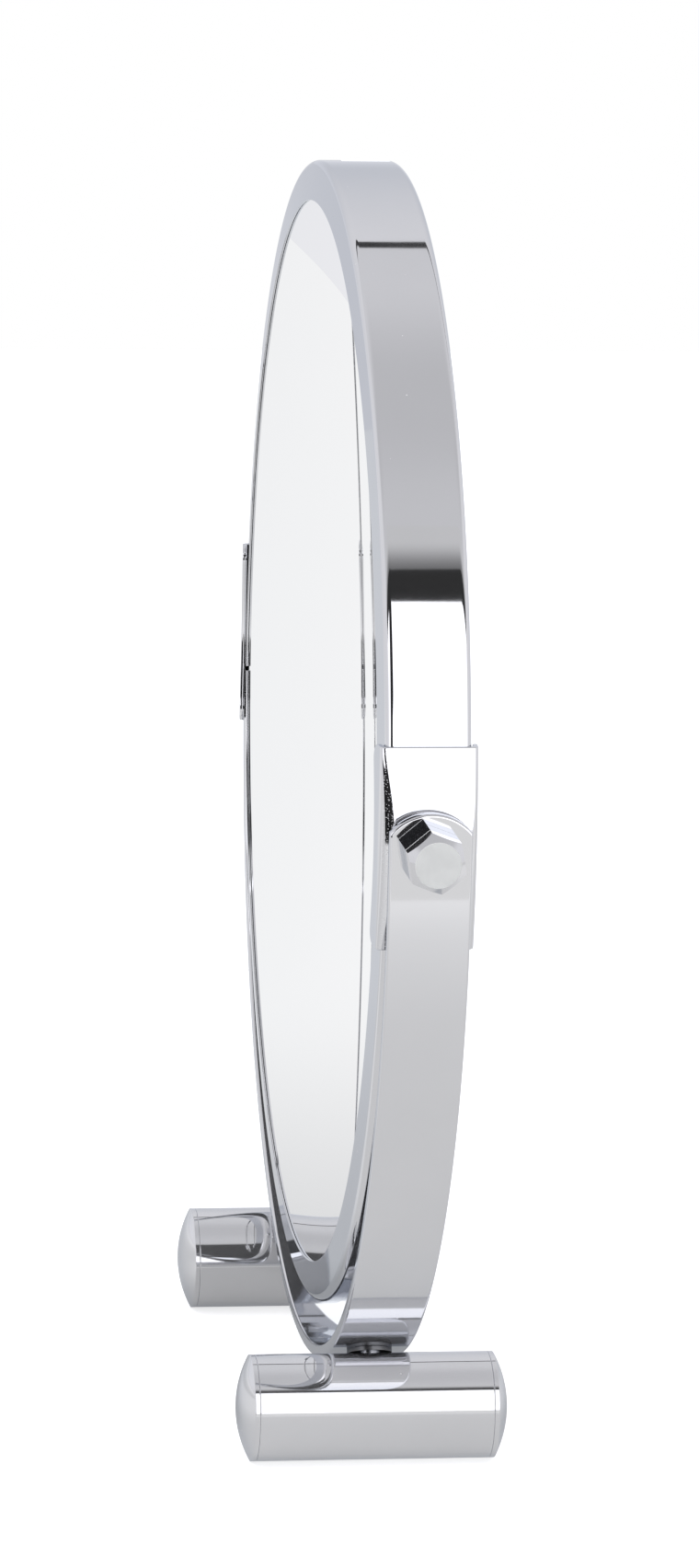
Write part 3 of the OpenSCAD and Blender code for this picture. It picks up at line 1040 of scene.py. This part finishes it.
class MIRROR_OT_stage(bpy.types.Operator):
    """The floor, the light tent and the camera"""

    bl_idname = "mirror.stage"
    bl_label = "Stage"
    # How far the floor reaches to the rear and the sides, and ahead, where the sill stands
    reach = 1.2
    reach_ahead = 0.48

    def execute(self, context):
        _, _, studio = settings()
        scene = context.scene
        scene.view_settings.view_transform = "Standard"
        self.floor(studio)
        self.bar(studio)
        self.card("sill", 0.85, self.reach_ahead, (-0.15, self.reach), (0, 0.035))
        self.card("low_card", 1.6, -0.3, (0.0355, 0.0455), (0.075, 0.2))
        self.tent(scene, studio)
        self.lamp(scene, studio)
        self.camera(scene)
        return {"FINISHED"}

    def floor(self, studio):
        """Pale paper, which reflections see mostly as a glow with a few painted lighter and darker
        parts.
        """
        made, wiring = new_material("pale_floor", solid(studio.floor))
        path = wiring.node("ShaderNodeLightPath")
        place = wiring.place()
        paper = wiring.noise(place, 6.0)
        tone = wiring.mix(paper * 0.3, solid(studio.floor), solid(studio.floor, 0.985))
        x, y, _ = wiring.axes(place)
        # Painted light and shade: lighter ahead, far behind and round the ends of the feet,
        # and a painted shadow that makes it darker under the mirror
        ahead = x.rise(0.12, 0.36) * 0.19 + x.rise(0.3, 0.48) * 0.15
        painted_shadow = x.band(-0.05, 0.028, 0.012) * abs(y).rise(0.042, 0.02)
        far = x.rise(-0.05, -0.3)
        ends = x.band(-0.055, 0.036, 0.02) * abs(y).rise(0.03, 0.06)
        shown = ahead - painted_shadow * 0.25 + far * 0.27 + ends * 0.22 + 0.69
        # A painted dark patch under the tent's opening, beyond a round edge half a metre
        # from the right foot
        away = wiring.maths("SQRT", (x - 0.09) * (x - 0.09) + y * y)
        dark = away.rise(0.54, 0.58) * y.rise(-0.1, -0.2) * (x + y * 0.27).rise(0.07, 0.11)
        shown = shown * (1.0 - dark * 0.97)
        matte = wiring.node("ShaderNodeBsdfDiffuse", inputs={"Color": tone})
        lift = wiring.glow(Signal(wiring, path.outputs["Is Camera Ray"]) * 0.6)
        both = wiring.node(
            "ShaderNodeAddShader", inputs={0: matte.outputs[0], 1: lift.outputs[0]}
        )
        share = Signal(wiring, path.outputs["Is Glossy Ray"]) * (dark * 0.25 + 0.75)
        seen = wiring.node(
            "ShaderNodeMixShader",
            inputs={0: share, 1: both.outputs[0], 2: wiring.glow(shown).outputs[0]},
        )
        wiring.end_with(seen)
        rear, front, side = -self.reach, self.reach_ahead, self.reach
        corners = [(rear, -side, 0), (front, -side, 0), (front, side, 0), (rear, side, 0)]
        stage_sheet("floor", corners, [(0, 1, 2, 3)], made)

    def bar(self, studio):
        """The bar along the tent's upper front edge: nearly black in front, then fading into the
        ceiling."""
        made, wiring = new_material("dark_bar", (0.05, 0.05, 0.05, 1))
        x = wiring.axes(wiring.place())[0]
        strip_edge = 0.3225
        strip = x > strip_edge
        fading = x.rise(0.324, 0.296, 0.2, studio.ceiling * 0.87)
        level = fading * (1.0 - strip) + strip * 0.035
        wiring.end_with(wiring.glow(level, (1, 1, 1.02, 1)))
        half = 0.6
        section = [(0.3478, 0.3366), (strip_edge, 0.3692), (0.297, 0.3957), (0.2816, 0.4086)]
        points = [(out, across, up) for out, up in section for across in (-half, half)]
        faces = [(2 * k, 2 * k + 1, 2 * k + 3, 2 * k + 2) for k in range(len(section) - 1)]
        stage_sheet("bar", points, faces, made, only_mirrored=True)

    def card(self, name, strength, x, across, upright):
        """A bright upright card at x; across and upright are its limits along Y and Z."""
        made, wiring = new_material(name, WHITE)
        wiring.end_with(wiring.glow(strength))
        (left, right), (low, high) = across, upright
        corners = [(x, left, low), (x, right, low), (x, right, high), (x, left, high)]
        stage_sheet(name, corners, [(0, 1, 2, 3)], made, only_mirrored=True)

    def tent(self, scene, studio):
        """White to the camera, an even fill for matte surfaces, and walls for reflections.

        turn is a direction's angle up and over the top, and side its angle round to the right,
        both in degrees from straight ahead. A direction's z is its height.
        """
        world = bpy.data.worlds.new("light_tent")
        scene.world = world
        world.use_nodes = True
        wiring = Wiring(world.node_tree)
        path = wiring.node("ShaderNodeLightPath")
        direction = wiring.node("ShaderNodeTexCoord").outputs["Generated"]
        x, y, z = wiring.axes(direction)
        turn = wiring.maths("ARCTAN2", z, x) * (180 / math.pi)
        side = wiring.maths("ARCTAN2", y, x) * (180 / math.pi)
        front_foot, front_top, ceiling_end = -8, 47.5, 125.2
        front_wall = turn.band(front_foot, front_top, 0.4)
        ceiling = turn.band(front_top, ceiling_end, 0.3)
        back_wall = 1.0 - (front_wall + ceiling).low(1.0)
        overhead = studio.ceiling - turn.rise(112, 84) * 0.14 + turn.rise(76, 54) * 0.06
        behind = studio.back + turn.rise(165, 178) * 0.09
        level = front_wall * studio.front + ceiling * overhead + back_wall * behind
        # A dark line along the ceiling's far edge, which ends on the left
        seam = turn.band(ceiling_end - 2.3, ceiling_end, 0.3) * y.rise(-0.4, -0.25)
        level = level * (1.0 - seam * 0.93)
        ends = abs(y).rise(0.72, 0.95)
        level = level * (1.0 - ends) + ends * (z * 0.08 + 0.83)
        # The dark opening ahead on the left, wider to the left below eye level and to the right
        # higher up
        opening = (side + z.rise(0.05, -0.01) * 38 + 36).rise(-2, 2)
        opening = opening * (side - z.rise(0.2, 0.32) * 8).rise(-5.5, -8.5)
        opening = opening * turn.rise(47, 43) * z.rise(-0.2, -0.185)
        level = level * (1.0 - opening * 0.985)
        glossy = Signal(wiring, path.outputs["Is Glossy Ray"])
        seen = Signal(wiring, path.outputs["Is Camera Ray"])
        through = Signal(wiring, path.outputs["Is Transmission Ray"])
        strength = glossy * level + (1.0 - glossy) * studio.fill
        white = seen.high(through)
        strength = strength * (1.0 - white) + white
        tone = wiring.mix(white, (0.985, 0.985, 1.02, 1), WHITE)
        back = wiring.node("ShaderNodeBackground", inputs={"Color": tone, "Strength": strength})
        wiring.end_with(back, "ShaderNodeOutputWorld")

    def lamp(self, scene, studio):
        """A large soft lamp overhead, which reflections do not see."""
        light = bpy.data.lights.new("soft_box", "AREA")
        light.shape = "SQUARE"
        light.size = 1.0
        light.energy = studio.lamp
        made = bpy.data.objects.new("soft_box", light)
        place, aim = Vector((0.25, -0.35, 1.1)), Vector((0, 0, 0.1))
        made.location = place
        made.rotation_euler = (place - aim).to_track_quat("Z", "Y").to_euler()
        made.visible_glossy = False
        scene.collection.objects.link(made)

    def camera(self, scene):
        """A camera fitted to the ring, the yoke and the feet. Its focal length and shifts are in
        pixels of a picture that is long_side high, and its place is counted from the tilt axis."""
        long_side = 1704
        focal, shift_x, shift_y = 7487.66, -0.466, 11.554
        place = PIVOT + Vector((1.061389, -0.140752, 0.208271))
        right = Vector((0.12737, 0.99162, 0.02166)).normalized()
        back = Vector((0.97125, -0.12912, 0.20001)).normalized()
        up = back.cross(right).normalized()
        right = up.cross(back).normalized()
        lens = bpy.data.cameras.new("camera")
        lens.sensor_width = 36.0
        lens.lens = focal / long_side * lens.sensor_width
        lens.shift_x = shift_x / long_side
        lens.shift_y = shift_y / long_side
        lens.clip_start, lens.clip_end = 0.05, 20.0
        made = bpy.data.objects.new("camera", lens)
        turn = Matrix((right, up, back)).transposed().to_4x4()
        made.matrix_world = Matrix.Translation(place) @ turn
        scene.collection.objects.link(made)
        scene.camera = made


class MIRROR_PT_panel(bpy.types.Panel):
    """Lists the mirror's parts and their settings"""

    bl_label = "Table mirror"
    bl_idname = "MIRROR_PT_panel"
    bl_space_type = "VIEW_3D"
    bl_region_type = "UI"
    bl_category = "Table mirror"

    def draw(self, context):
        layout = self.layout
        for group in settings():
            box = layout.box()
            for name in group.bl_rna.properties.keys():
                if name not in ("rna_type", "name"):
                    box.prop(group, name)
        for operator in OPERATORS:
            layout.operator(operator.bl_idname)


GROUPS = {"mirror_looks": MirrorLooks, "mirror_sheet": MirrorSheet, "mirror_studio": StudioLight}
OPERATORS = (
    MIRROR_OT_ring, MIRROR_OT_clips, MIRROR_OT_yoke, MIRROR_OT_glass, MIRROR_OT_feet,
    MIRROR_OT_pivots, MIRROR_OT_stage,
)


def register():
    for group in GROUPS.values():
        bpy.utils.register_class(group)
    for name, group in GROUPS.items():
        setattr(bpy.types.Scene, name, bpy.props.PointerProperty(type=group))
    for operator in OPERATORS:
        bpy.utils.register_class(operator)
    bpy.utils.register_class(MIRROR_PT_panel)


def unregister():
    bpy.utils.unregister_class(MIRROR_PT_panel)
    for operator in reversed(OPERATORS):
        bpy.utils.unregister_class(operator)
    for name, group in GROUPS.items():
        delattr(bpy.types.Scene, name)
        bpy.utils.unregister_class(group)


def main():
    """Makes every piece and the stage."""
    register()
    for operator in OPERATORS:
        group, name = operator.bl_idname.split(".")
        getattr(getattr(bpy.ops, group), name)()


if __name__ == "__main__":
    main()
